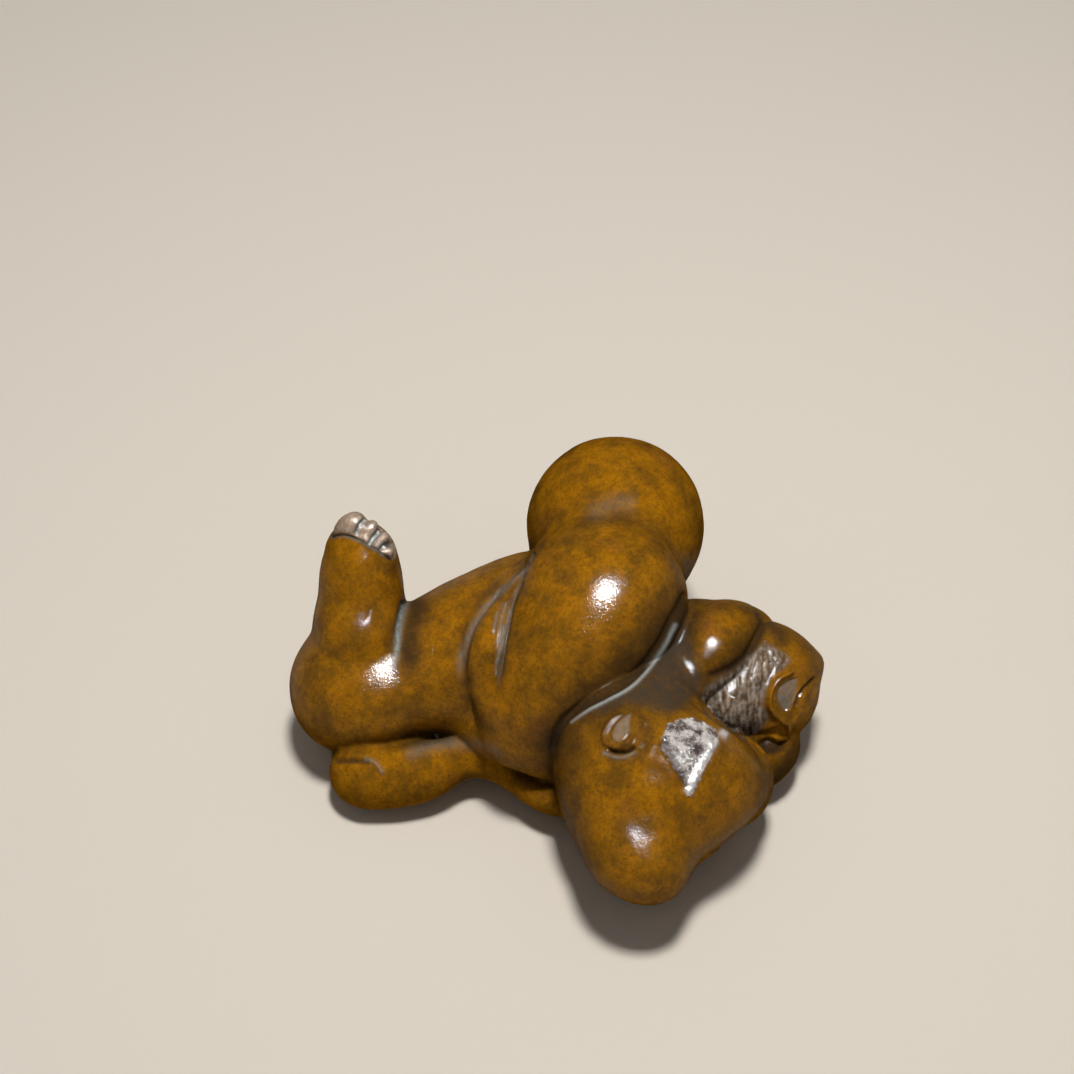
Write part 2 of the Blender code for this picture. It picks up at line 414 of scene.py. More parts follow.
def refine(mesh, wanted):
    """Halves the grid where the given mask over the vertices holds."""
    form = bmesh.new()
    form.from_mesh(mesh)
    form.verts.ensure_lookup_table()
    chosen = [edge for edge in form.edges if wanted[edge.verts[0].index] and wanted[edge.verts[1].index]]
    bmesh.ops.subdivide_edges(form, edges=chosen, cuts=1, use_grid_fill=True)
    form.to_mesh(mesh)
    form.free()
    mesh.update()


def smooth_line(points, cuts=6):
    """A drawn line through the given points, with smooth bends."""
    points = [np.array(point, float) for point in points]
    if len(points) < 3:
        return np.array(points)
    ends = [2 * points[0] - points[1], *points, 2 * points[-1] - points[-2]]
    line = []
    for before, start, end, after in zip(ends, ends[1:], ends[2:], ends[3:]):
        line += [on_curve(before, start, end, after, t) for t in np.arange(cuts) / cuts]
    return np.array([*line, points[-1]])


def line_distance(spots, line):
    """For each spot: its distance to a drawn line, on which side of it, and how far along (0-1)."""
    best = np.full(len(spots), np.inf)
    side = np.zeros(len(spots))
    along = np.zeros(len(spots))
    lengths = np.linalg.norm(np.diff(line, axis=0), axis=1)
    passed = np.concatenate([[0], np.cumsum(lengths)])
    for i, (start, end) in enumerate(zip(line[:-1], line[1:])):
        run = end - start
        t = np.clip(((spots - start) @ run) / max(run @ run, 1e-9), 0, 1)
        gap = spots - start - t[:, None] * run
        reach = np.linalg.norm(gap, axis=1)
        closer = reach < best
        best[closer] = reach[closer]
        cross = run[0] * gap[:, 1] - run[1] * gap[:, 0]
        side[closer] = np.sign(cross[closer])
        along[closer] = (passed[i] + t[closer] * lengths[i]) / passed[-1]
    return best, side, along


def inside(spots, outline, cuts=6):
    """Signed distance to a closed outline, positive inside; straight-edged with one cut."""
    ring = smooth_line([*outline, outline[0]], cuts)
    reach, _, _ = line_distance(spots, ring)
    crossings = np.zeros(len(spots), int)
    for (x0, y0), (x1, y1) in zip(ring[:-1], ring[1:]):
        if y0 == y1:
            continue
        spans = (spots[:, 1] > min(y0, y1)) & (spots[:, 1] <= max(y0, y1))
        crossing = x0 + (spots[:, 1] - y0) * (x1 - x0) / (y1 - y0)
        crossings += spans & (spots[:, 0] < crossing)
    return np.where(crossings % 2 == 1, reach, -reach)


def rise(values, start, end):
    """Goes smoothly from 0 at start to 1 at end."""
    t = np.clip((values - start) / (end - start), 0, 1)
    return t * t * (3 - 2 * t)


def photo_spots(places):
    """Where places in fiftieths fall in the photo, in its pixels."""
    arm = places - VIEW_EYE
    depth = -(arm @ VIEW_BACK)
    across = PHOTO_MIDDLE + PIXELS_PER_SLOPE * (arm @ VIEW_RIGHT) / depth
    down = PHOTO_MIDDLE - PIXELS_PER_SLOPE * (arm @ VIEW_UP) / depth
    return np.column_stack([across, down])


def seen_by_camera(mesh):
    """1 where the camera sees a vertex, fading to 0 at the outline, and 0 where it is hidden."""
    places, normals = places_of(mesh), normals_of(mesh)
    sight = VIEW_EYE - places
    sight /= np.linalg.norm(sight, axis=1)[:, None]
    facing = (normals * sight).sum(axis=1)
    form = bmesh.new()
    form.from_mesh(mesh)
    tree = BVHTree.FromBMesh(form)
    form.free()
    seen = np.zeros(len(places))
    for i in np.nonzero(facing > 0)[0]:
        start = Vector(places[i] + 0.12 * normals[i] + 0.05 * sight[i])
        if tree.ray_cast(start, Vector(sight[i]))[0] is None:
            seen[i] = 1.0
    return seen * rise(facing, 0.02, 0.3)


# Drawn lines, in the photo's pixels, where they mark the cast
NECK = [
    (684, 596), (679, 607), (672, 619), (660, 643), (644, 665), (627, 682), (606, 694),
    (584, 705), (566, 717), (556, 731), (553, 747),
]
NECK_LIP = [(676, 625), (664, 648), (648, 670), (630, 688), (608, 700), (587, 711), (571, 722)]
LEG_CREASE = [(406, 600), (403, 612), (400, 624), (398, 638), (396, 656), (395, 670)]
LEG_SHADE = [(420, 606), (416, 618), (412, 630), (409, 644), (407, 660)]
ROLL_OUTER = [
    (525, 563), (506, 583), (489, 604), (474, 626), (467, 648),
    (464, 670), (466, 692), (474, 712), (488, 728),
]
ROLL_INNER = [
    (533, 554), (524, 571), (517, 589), (512, 604), (510, 616),
    (507, 632), (504, 650), (501, 668), (499, 687),
]
ROLL_SHEEN = [(527, 567), (505, 587), (486, 606), (472, 628), (463, 650), (460, 668), (460, 684)]
ROLL_SCRATCHES = [
    [(506, 603), (502, 618), (500, 634), (497, 650)],
    [(510, 608), (506, 624), (503, 640), (500, 656)],
    [(503, 626), (500, 645), (498, 664)],
    [(497, 612), (495, 624), (494, 636)],
    [(499, 650), (496, 664), (496, 678)],
]
ROLL_HATCH = [
    (498, 604), (507, 600), (512, 601), (509, 622), (504, 648),
    (500, 684), (497, 682), (495, 660), (494, 630),
]
SEAT_VALLEY = [(545, 548), (577, 531), (616, 517), (655, 535), (677, 573)]
TOE_BASE = [
    (324, 538), (335, 536), (345, 536), (355, 539), (362, 542), (370, 547), (378, 551),
    (386, 557), (393, 561),
]
TOES = [
    (324, 537), (335, 534), (345, 534), (355, 537), (370, 545), (386, 555), (394, 559),
    (399, 545), (390, 522), (372, 508), (352, 504), (334, 520),
]
TOE_GROOVES = [
    [(370, 514), (364, 521), (359, 528), (356, 536)],
    [(384, 527), (378, 533), (372, 540), (369, 546)],
    [(395, 543), (389, 544), (384, 546), (381, 551)],
]
ELBOW_FOLD = [(330, 762), (345, 761), (360, 761), (370, 762)]
ELBOW_HOOK = [(366, 759), (374, 762), (379, 767), (384, 776)]
THIGH_NICK = [(435, 642), (434, 650), (435, 658)]
KNEE_SCRATCH = [(371, 607), (368, 615), (365, 623)]
FAR_PART = [(762, 614), (770, 622), (776, 631), (781, 640)]
SHOULDER_VALLEY = [
    (764, 611), (764, 624), (759, 637), (752, 650), (742, 661), (731, 669), (717, 675), (704, 679),
]
HEAD_EDGE = [
    (701, 690), (704, 704), (711, 715), (721, 723), (732, 730), (741, 736), (749, 743),
    (757, 753), (768, 771),
]
HEAD_RIM = [
    (684, 699), (691, 706), (699, 714), (709, 722), (719, 728), (730, 735), (739, 741), (748, 749),
]

UNDER_EAR_RIM = [
    (630, 711), (622, 713.5), (613, 719), (607, 727), (604, 736), (606, 743.5),
    (614, 747.3), (623, 745.5), (630, 740), (633.5, 733),
]
UNDER_EAR_CUP = [
    (612.5, 733), (616, 725), (623, 718), (631, 714), (630, 722),
    (630, 729), (627, 736.5), (619, 742.3), (613, 740),
]
UNDER_EAR_SLIT = [(607, 749), (613, 751.3), (621, 752), (629, 750.3), (635, 745.5)]
UNDER_EAR_LIP = [(604, 753), (612, 756.5), (621, 757.5), (630, 755.5), (638, 750)]
UNDER_EAR_FRONT = [(643, 722), (647, 730), (648, 739), (645, 748), (640, 754)]
UNDER_EAR_RIDGE = [(659, 722), (655, 733), (652, 744), (647, 754), (641, 766)]
UNDER_EAR_DIMPLE = [(652, 766), (660, 768), (666, 775)]
UNDER_EAR_NOTCH = [(660, 744), (667, 747), (674, 752)]

FAR_EAR_RIM = [
    (796, 670), (787, 674), (779, 678), (773, 685), (769.5, 694), (769, 704), (773, 712),
    (780, 717), (786, 721), (788, 729), (785, 737),
]
FAR_EAR_CUP = [
    (798, 677), (789, 680), (780, 687), (777, 696), (781, 706), (786, 711), (793, 703), (798, 690),
]
FAR_EAR_SLIT = [(817, 676), (811, 682), (805, 688), (800, 695), (797, 703), (794, 711)]
FAR_EAR_FACET = [(803, 709), (797, 716), (792, 725)]
FAR_EAR_BAND = [(744, 739), (756, 732), (767, 726), (776, 722), (786, 721)]
FAR_EAR_HOLLOW = [(756, 742), (768, 737), (779, 741), (788, 741), (786, 749), (776, 756), (764, 752)]

TUFT = [
    (662, 736), (668, 724), (680, 719.5), (691, 718), (703, 723),
    (714, 730), (719, 742), (709, 760), (700, 778),
    (692, 797), (688, 796), (682, 783), (672, 765), (662, 749),
]
TUFT_BEVEL = [(714, 742), (706, 754), (699, 766), (694, 777), (689, 789)]
TUFT_KNOB = [(721, 734), (724, 736)]
TUFT_SHADE = [(665, 748), (673, 762), (682, 778)]
CHEEK_FLAT = [(633, 826), (642, 839), (650, 851)]
CALF_FLAT = [(364, 612), (361, 622), (359, 632)]
NEAR_HAIR = [
    (683, 612), (690, 640), (700, 664), (702, 688), (690, 702), (668, 713), (645, 708),
    (622, 704), (598, 716), (607, 700), (640, 679), (662, 650),
]
FAR_HAIR = [
    (765, 640), (791, 657), (786, 668), (775, 676), (768, 688), (765, 705), (769, 716),
    (763, 726), (746, 738), (733, 731), (714, 721), (704, 708), (702, 690), (716, 680), (736, 669),
    (752, 652),
]
FAR_STRANDS = [
    [(765, 639), (763, 646), (757, 654), (752, 668), (750, 684)],
    [(765, 639), (767, 650), (772, 657), (776, 664)],
    [(737, 672), (739, 688), (739, 706), (736, 728)],
    [(752, 690), (753, 706), (750, 720), (746, 734)],
    [(720, 684), (722, 700), (728, 718)],
    [(764, 672), (761, 690), (760, 708), (754, 722)],
    [(778, 660), (772, 672), (766, 684)],
]

# Grooves and ridges: line, width in pixels, height in fiftieths, share faded in at either end
STROKES = [
    (NECK, 4.0, -0.26, 0.0, 0.0),
    (NECK_LIP, 3.0, 0.10, 0.2, 0.2),
    (LEG_CREASE, 4.6, -0.30, 0.05, 0.6),
    (ROLL_OUTER, 2.6, -0.22, 0.0, 0.35),
    (ROLL_INNER, 2.0, -0.26, 0.0, 0.2),
    (TOE_BASE, 1.9, -0.26, 0.05, 0.05),
    (ELBOW_FOLD, 3.0, -0.25, 0.2, 0.1),
    (ELBOW_HOOK, 2.4, 0.28, 0.2, 0.2),
    (THIGH_NICK, 1.4, -0.05, 0.2, 0.2),
    (KNEE_SCRATCH, 1.1, -0.08, 0.2, 0.2),
    (SHOULDER_VALLEY, 5.0, -0.30, 0.05, 0.1),
    (HEAD_EDGE, 2.6, -0.30, 0.1, 0.1),
    (HEAD_RIM, 2.6, 0.14, 0.1, 0.2),
    (UNDER_EAR_RIM, 2.5, 0.26, 0.3, 0.1),
    (UNDER_EAR_SLIT, 1.5, -0.50, 0.15, 0.1),
    (UNDER_EAR_LIP, 2.2, 0.14, 0.2, 0.1),
    (UNDER_EAR_FRONT, 4.0, -0.16, 0.2, 0.2),
    (UNDER_EAR_RIDGE, 4.0, 0.10, 0.2, 0.2),
    (UNDER_EAR_DIMPLE, 6.0, -0.05, 0.2, 0.2),
    (UNDER_EAR_NOTCH, 2.4, -0.07, 0.1, 0.2),
    (FAR_EAR_RIM, 3.0, 0.52, 0.1, 0.1),
    (FAR_EAR_SLIT, 1.9, -0.32, 0.1, 0.2),
    (FAR_EAR_FACET, 2.2, 0.16, 0.2, 0.2),
    (FAR_EAR_BAND, 3.2, 0.30, 0.1, 0.1),
    (TUFT_BEVEL, 4.0, 0.16, 0.1, 0.2),
    (TUFT_KNOB, 3.6, 0.30, 0.0, 0.0),
    (CHEEK_FLAT, 12.0, -0.036, 0.0, 0.0),
    (CALF_FLAT, 13.0, -0.036, 0.0, 0.0),
    *((groove, 2.2, -0.34, 0.0, 0.1) for groove in TOE_GROOVES),
    *((scratch, 1.1, -0.07, 0.2, 0.2) for scratch in ROLL_SCRATCHES),
    *((strand, 1.8, -0.10, 0.1, 0.2) for strand in FAR_STRANDS),
]

# Sunk and raised patches: outline, height in fiftieths, width of the edge in pixels
PATCHES = [
    (UNDER_EAR_CUP, 0.12, 2.0),
    (FAR_EAR_CUP, -0.24, 3.0),
    (FAR_EAR_HOLLOW, -0.80, 4.0),
    (TUFT, 0.14, 4.0),
]

# Verdigris and dirt in grey-green lines, with painted sheens where the roll's edge, the seat valley and
# the top of the arm catch the light: line, width in pixels, strength
DEPOSITS_AND_SHEENS = [
    (NECK_LIP, 1.9, 1.0),
    (LEG_CREASE, 3.2, 0.8),
    # Painted sheen along the roll's outer edge
    (ROLL_SHEEN, 3.2, 0.34),
    (ROLL_INNER, 1.2, 0.3),
    # Painted sheens: the dull highlight band over the seat valley, and the lit top of the arm
    ([(596, 512), (615, 503), (640, 504)], 9.0, 0.14),
    ([(412, 753), (436, 745), (462, 743), (486, 747), (505, 758)], 6.0, 0.22),
    (ELBOW_HOOK, 2.2, 0.4),
    (TOE_BASE, 1.6, 0.4),
    (UNDER_EAR_LIP, 2.0, 0.4),
    *((groove, 2.2, 0.8) for groove in TOE_GROOVES),
    *((scratch, 1.0, 0.5) for scratch in ROLL_SCRATCHES),
]
GREY_PATCHES = [(UNDER_EAR_CUP, 0.38), (FAR_EAR_CUP, 0.4), (ROLL_HATCH, 0.1)]
# Painted shade filling the dark pit under the far ear
SHADE_PATCHES = [(FAR_EAR_HOLLOW, 0.9)]

# Dark shading along lines: line, width in pixels, strength
SHADES = [
    (NECK, 12.0, 0.9),
    (NECK, 24.0, 0.7),
    (NECK_LIP, 20.0, 0.5),
    (LEG_CREASE, 6.0, 0.5),
    (LEG_SHADE, 13.0, 0.8),
    (ROLL_OUTER, 7.0, 0.5),
    (ROLL_INNER, 5.0, 0.5),
    (UNDER_EAR_RIM, 10.0, 0.4),
    (UNDER_EAR_FRONT, 8.0, 0.6),
    (UNDER_EAR_DIMPLE, 9.0, 0.4),
    (TUFT_SHADE, 6.0, 0.75),
    (UNDER_EAR_NOTCH, 6.0, 0.4),
    (FAR_PART, 9.0, 0.8),
    ([(774, 786), (787, 771), (798, 750)], 13.0, 0.6),
    (SHOULDER_VALLEY, 10.0, 0.6),
    (SEAT_VALLEY, 9.0, 0.35),
]

# Marks on the sides that the photo doesn't show, plainer: line, width and height, drawn on a flat
# card of the given size that stands at a place, faces a way and has its top up
FACE_MARKS = [
    ([(-1.75, 0.95), (-1.2, 0.62), (-0.62, 0.85)], 0.13, -0.20),
    ([(0.62, 0.85), (1.2, 0.62), (1.75, 0.95)], 0.13, -0.20),
    ([(-1.8, 1.25), (-1.2, 1.05), (-0.6, 1.2)], 0.30, 0.10),
    ([(0.6, 1.2), (1.2, 1.05), (1.8, 1.25)], 0.30, 0.10),
    ([(-1.8, 1.85), (-1.2, 2.1), (-0.55, 1.85)], 0.22, 0.08),
    ([(0.55, 1.85), (1.2, 2.1), (1.8, 1.85)], 0.22, 0.08),
    ([(-0.7, -0.85), (0.0, -1.1), (0.7, -0.85)], 0.13, -0.22),
    ([(-0.35, -1.4), (0.0, -1.45), (0.35, -1.4)], 0.20, 0.10),
]
FINGER_MARKS = [
    ([(across, -1.0), (across + 0.1, 0.0), (across, 0.9)], 0.14, -0.22) for across in (-0.75, 0.0, 0.75)
]
HIDDEN_MARKS = [
    (FACE_MARKS, (14.3, -14.8, 3.4), (0.80, -0.37, -0.48), (0.2, -0.55, 0.8), 1.7),
    (FACE_MARKS, (23.9, 0.2, 4.8), (0.92, -0.10, -0.35), (0.3, 0.0, 0.95), 1.35),
    (FINGER_MARKS, (21.6, 8.0, 2.6), (0.70, 0.70, 0.10), (0.0, 0.0, 1.0), 1.3),
    (FINGER_MARKS, (11.6, 9.4, 3.2), (0.90, 0.40, 0.10), (0.0, 0.0, 1.0), 1.5),
]
CARD_REACH = 2.2

# Painted brown shade along the edges of forms, by the neck, the shoulders and the heads: line, width in
# pixels, strength
BROWN_SHADES = [
    ([(660, 628), (640, 655), (612, 680), (585, 694)], 24.0, 0.6),
    ([(600, 722), (622, 708), (650, 702), (678, 708)], 14.0, 0.55),
    ([(690, 606), (712, 602), (738, 604), (758, 612)], 14.0, 0.65),
    ([(758, 616), (752, 636), (736, 656), (716, 668)], 13.0, 0.7),
    ([(684, 612), (686, 632), (688, 650)], 12.0, 0.6),
    ([(566, 744), (562, 780), (570, 820), (580, 850)], 20.0, 0.5),
    ([(786, 633), (806, 646), (818, 664)], 10.0, 0.5),
    ([(745, 760), (762, 790), (766, 815)], 14.0, 0.5),
    ([(768, 778), (784, 762), (797, 744)], 18.0, 0.8),
]

# Where the wax is rubbed off: line, width in pixels, strength
MATT = [
    ([(362, 655), (378, 652), (394, 645)], 9.0, 1.0),
    ([(655, 790), (650, 800), (646, 806)], 9.0, 0.9),
    ([(642, 758), (655, 766), (668, 776)], 34.0, 1.0),
    ([(642, 716), (646, 734), (642, 752)], 9.0, 0.9),
    ([(628, 709), (610, 717), (602, 733), (604, 745)], 6.0, 0.9),
    ([(504, 604), (501, 640), (498, 684)], 10.0, 0.8),
    (FAR_STRANDS[0], 30.0, 0.5),
    ([(352, 546), (364, 551), (376, 557)], 10.0, 1.0),
    (NECK, 14.0, 0.8),
]

# Bright smooth metal, with painted glints on the forelock's bevel, its knob and the neck's lip: line,
# width in pixels, strength
POLISH_AND_GLINT_LINES = [(TUFT_BEVEL, 3.6, 1.0), (TUFT_KNOB, 3.2, 1.0), (NECK_LIP, 1.5, 0.45)]

CHISEL_SIZE = 0.32
RAGGED_EDGE = 2.0
CHISEL_HEIGHT = 0.045
WOBBLE_SIZE = 4.0
WOBBLE_HEIGHT = 0.06
HOLLOW_HEIGHTS = (0.5, 1.2, 2.5)
# Upward slopes of the normal over which the painted underside shade fades out
TOPLIT_SLOPES = (-0.3, 0.75)
DULL_HEIGHTS = (7.0, 10.0)
FAR_SEAT_DULL = (540, 580)
STRAND_WIDTH = 3.2
STRAND_LENGTH = 13.0
STRAND_HEIGHT = 0.032


def stroke_strength(spots, line, width, fade_in, fade_out):
    reach, _, along = line_distance(spots, smooth_line(line))
    strength = np.exp(-((reach / width) ** 2))
    if fade_in > 0:
        strength = strength * rise(along, -0.01, fade_in)
    if fade_out > 0:
        strength = strength * rise(1 - along, -0.01, fade_out)
    return strength


def marked(spots, rows, fade_out=0):
    """The strongest of the given lines at each spot, from rows of line, width and strength."""
    lines = [
        strength * stroke_strength(spots, line, width, 0, fade_out) for line, width, strength in rows
    ]
    return np.max(lines, axis=0)


def patched(spots, rows, low, high):
    """The strongest of the given patches at each spot, from rows of outline and strength."""
    fills = [strength * rise(inside(spots, outline), low, high) for outline, strength in rows]
    return np.max(fills, axis=0)


def detail_mask(spots, reach):
    """True near any drawn line or patch."""
    near = np.zeros(len(spots), bool)
    for line, width, *_ in STROKES:
        near |= line_distance(spots, smooth_line(line))[0] < width + reach
    for outline in (TUFT, FAR_HAIR, UNDER_EAR_CUP, FAR_EAR_CUP, FAR_EAR_HOLLOW):
        near |= inside(spots, outline) > -reach
    return near


def on_card(places, normals, origin, forward, up, size):
    """Where places fall on a flat card of the given size, and how squarely they face it (0-1)."""
    forward = np.array(forward) / np.linalg.norm(forward)
    right = np.cross(up, forward)
    right /= np.linalg.norm(right)
    arm = (places - origin) / size
    near = np.linalg.norm(arm, axis=1) < CARD_REACH
    spots = np.column_stack([arm @ right, arm @ np.cross(forward, right)])
    return spots, near * rise(normals @ forward, 0.1, 0.5)


def refine_details(mesh):
    for reach in REFINED_REACHES:
        places, normals = places_of(mesh), normals_of(mesh)
        wanted = detail_mask(photo_spots(places), reach) & (seen_by_camera(mesh) > 0)
        for _, *card in HIDDEN_MARKS:
            wanted |= on_card(places, normals, *card)[1] > 0
        refine(mesh, wanted)
        settle(mesh)


def noise_over(places, size, octaves=3):
    """Soft noise between about -1 and 1 over the places, with features of the given size."""
    return np.array([noise.fractal(Vector(place / size), 1.0, 2.0, octaves) for place in places])


def strands_over(spots):
    """Fine upright hair strands over the photo, as soft noise drawn out along them."""
    stretched = spots / (STRAND_WIDTH, STRAND_LENGTH)
    return np.array([noise.noise(Vector((across, down, 0))) for across, down in stretched])


def chase(mesh, relief):
    """Chases the marks into the skin and stores the masks that the patina reads, painted shade and
    glints among them.
    """
    places, normals = places_of(mesh), normals_of(mesh)
    spots, seen = photo_spots(places), seen_by_camera(mesh)
    height = WOBBLE_HEIGHT * noise_over(places, WOBBLE_SIZE)
    groove = np.zeros(len(places))
    for line, width, depth, fade_in, fade_out in STROKES:
        strength = stroke_strength(spots, line, width, fade_in, fade_out) * seen
        height += depth * strength
        groove = np.maximum(groove, strength * min(1.0, -3 * depth))
    for marks, *card in HIDDEN_MARKS:
        card_spots, facing = on_card(places, normals, *card)
        for line, width, depth in marks:
            strength = stroke_strength(card_spots, line, width, 0.1, 0.1) * facing
            height += depth * strength
            groove = np.maximum(groove, strength * min(0.8, max(0.0, -4 * depth)))
    for outline, depth, edge in PATCHES:
        cuts = 1 if outline is TUFT else 6
        strength = rise(inside(spots, outline, cuts), -edge / 2, edge / 2) * seen
        height += depth * strength
        groove = np.maximum(groove, strength * min(0.8, -1.5 * depth))
    far_hair = rise(inside(spots, FAR_HAIR), -3, 5) * seen
    near_hair = rise(inside(spots, NEAR_HAIR), -6, 8) * seen
    tuft_depth = inside(spots, TUFT, 1)
    textured = np.nonzero((far_hair + near_hair > 0) | (tuft_depth > -4))[0]
    chisel = np.zeros(len(places))
    chisel[textured] = noise_over(places[textured], CHISEL_SIZE)
    tuft = rise(tuft_depth + RAGGED_EDGE * chisel, -1, 1.5) * seen
    height += CHISEL_HEIGHT * chisel * (2.4 * tuft + 0.4 * far_hair + 0.5 * near_hair)
    strands = np.zeros(len(places))
    strands[textured] = strands_over(spots[textured]) * far_hair[textured]
    height += STRAND_HEIGHT * strands
    # Painted shade in the grooves, along the shade lines and in the dark pit under the far ear
    grime = np.maximum(groove, marked(spots, SHADES) * seen)
    grime = np.maximum(grime, patched(spots, SHADE_PATCHES, -2, 3) * seen)
    # Painted shade in the creases, from how little room the field leaves above the skin, and along the
    # brown shade lines
    hollow = np.maximum(hollowness(places, normals), marked(spots, BROWN_SHADES) * seen)
    # Painted glints on the forelock's bevel, its knob and the neck's lip, partly rubbed metal
    polished = marked(spots, POLISH_AND_GLINT_LINES) * seen
    # Grey-green deposits, with painted sheens along some lines
    deposit = marked(spots, DEPOSITS_AND_SHEENS, 0.2) * seen
    deposit = np.maximum(deposit, patched(spots, GREY_PATCHES, -1, 2) * seen)
    # 1 on upward-facing sides; the patina paints shade on the sides facing down
    worn = rise(normals[:, 2], *TOPLIT_SLOPES)
    low = 1 - rise(places[:, 2], *DULL_HEIGHTS)
    dull = np.maximum(low, 1 - rise(spots[:, 1], *FAR_SEAT_DULL) * seen)
    dull = np.maximum(dull, marked(spots, MATT))
    masks = {
        "hollow": hollow,
        "grime": grime,
        "worn": worn,
        "dull": dull,
        "polished": polished,
        "silver": rise(strands + 0.5 * chisel * far_hair, -0.7, 0.7) * far_hair,
        "hair": np.maximum(far_hair, near_hair),
        "tuft": tuft,
        "deposit": deposit,
        "toes": rise(inside(spots, TOES), -1, 2) * seen,
    }
    set_places(mesh, places + relief * height[:, None] * normals)
    for name, values in masks.items():
        layer = mesh.attributes.new(name, "FLOAT", "POINT")
        layer.data.foreach_set("value", np.clip(values, 0, 1).astype(np.float32))


def hollowness(places, normals):
    """0 on open forms, towards 1 in creases, from how much room the field leaves above the skin; the
    patina paints shade there.
    """
    room = np.zeros(len(places))
    for height in HOLLOW_HEIGHTS:
        distance, _ = field(places + height * normals)
        room += np.clip(distance / height, 0, 1) / len(HOLLOW_HEIGHTS)
    return rise(1 - room, 0.05, 0.75)


# The stage: the key light hangs overhead and casts the shadows, and a second one, which only the
# gloss shows, stands a little nearer to the camera
KEY_WAY = (0.04, 0.0, 1.0)
KEY_POWER = 1.0
KEY_COLOUR = (1.0, 0.95, 0.88)
GLOSS_WAY = (0.16, -0.32, 0.93)
GLOSS_POWER = 10.0
GLOSS_COLOUR = (0.94, 0.97, 1.0)
WORLD_COLOUR = (1.0, 0.97, 0.93)
WORLD_STRENGTH = 0.18


def placing(figure_length):
    """The size of one fiftieth in metres, and the shift that stands the design in the CAD box."""
    unit = figure_length / (DESIGN_HIGH[0] - DESIGN_LOW[0])
    shift = (CAD_LOW + CAD_HIGH) / 2 - unit * (DESIGN_LOW + DESIGN_HIGH) / 2
    shift[2] = CAD_LOW[2] - unit * FLAT_DEPTH
    return unit, shift


def fill(tree, socket, value):
    """Links another node's output into a socket, or sets a plain value there."""
    if isinstance(value, bpy.types.NodeSocket):
        tree.links.new(value, socket)
    else:
        socket.default_value = value


def add_node(tree, kind, values=None, **settings):
    """A new node with its settings made and its inputs linked or filled in."""
    node = tree.nodes.new(kind)
    for name, value in settings.items():
        setattr(node, name, value)
    for name, value in (values or {}).items():
        fill(tree, node.inputs[name], value)
    return node


# Noises of the patina: scale over one metre, detail and roughness
NOISES = {
    "blotches": (150.0, 4.0, 0.6),
    "drifts": (340.0, 5.0, 0.65),
    "clouds": (800.0, 6.0, 0.72),
    "specks": (2600.0, 4.0, 0.75),
    "grain": (5600.0, 2.0, 0.6),
    "patchy": (1100.0, 4.0, 0.6),
    "flaky": (2600.0, 4.0, 0.6),
    "sparkling": (900.0, 7.0, 0.72),
}
# Layers of the patina: noise, where it starts and where it is full, its share and its tone
PATINA_LAYERS = [
    ("blotches", 0.56, 0.72, 0.5, "Red"),
    ("drifts", 0.42, 0.66, 0.58, "Dark"),
    ("specks", 0.44, 0.66, 0.4, "Dark"),
    ("grain", 0.48, 0.75, 0.40, "Dark"),
]
# Share of the painted shade on the downward-facing sides
UNDERSIDE_SHADE_SHARE = 0.15
# Shares of a mask: how much its noise adds, and how much is there anyway
HAIR_FLECKS = (0.25, 0.68)
TOE_FLECKS = (0.25, 0.1)
CRUST_FLECKS = (0.35, 0.5)
# Shares of the painted shade in the creases, and in the grooves and along the shade lines
CREASE_SHADE_SHARE = 0.75
GROOVE_SHADE_SHARE = 0.9
TOE_SILVER = 0.42
# Share of the painted shade at the grazing rims
RIM_SHADE_SHARE = 0.5
PATINA_ROUGHNESS = 0.42
RUBBED_METALLIC = 0.3
WAX_IOR = 1.2
WAX_ROUGHNESS = 0.13
PITTING = {"Strength": 0.8, "Distance": 0.00006}
RIM_BLEND = 0.35
# How far each mask takes the wax away
UNWAXED = {"hollow": 0.8, "grime": 0.7, "dull": 1.0, "crust_and_sheen": 0.6}


def noise_node(tree, place, name):
    scale, detail, roughness = NOISES[name]
    values = {"Vector": place, "Scale": scale, "Detail": detail, "Roughness": roughness}
    return add_node(tree, "ShaderNodeTexNoise", values).outputs["Fac"]


def ramp_node(tree, fac, low, high):
    """0 below low and 1 above high."""
    values = {"Value": fac, "From Min": low, "From Max": high}
    ramp = add_node(tree, "ShaderNodeMapRange", values, interpolation_type="SMOOTHSTEP")
    return ramp.outputs["Result"]


def mix_colour(tree, fac, first, second, blend_type="MIX"):
    node = add_node(tree, "ShaderNodeMix", data_type="RGBA", blend_type=blend_type)
    colour_inputs = [socket for socket in node.inputs if socket.type == "RGBA"]
    factor = next(socket for socket in node.inputs if socket.type == "VALUE")
    for socket, value in ((factor, fac), (colour_inputs[0], first), (colour_inputs[1], second)):
        fill(tree, socket, value)
    return next(socket for socket in node.outputs if socket.type == "RGBA")


def maths(tree, operation, first, second, clamp=False):
    node = add_node(tree, "ShaderNodeMath", operation=operation, use_clamp=clamp)
    for socket, value in zip(node.inputs, (first, second)):
        fill(tree, socket, value)
    return node.outputs[0]


def flecked(tree, mask, noise_fac, added, anyway):
    """A mask broken up by a noise."""
    share = maths(tree, "ADD", maths(tree, "MULTIPLY", noise_fac, added), anyway)
    return maths(tree, "MULTIPLY", mask, share)


def mask_node(tree, name):
    return add_node(tree, "ShaderNodeAttribute", attribute_name=name).outputs["Fac"]


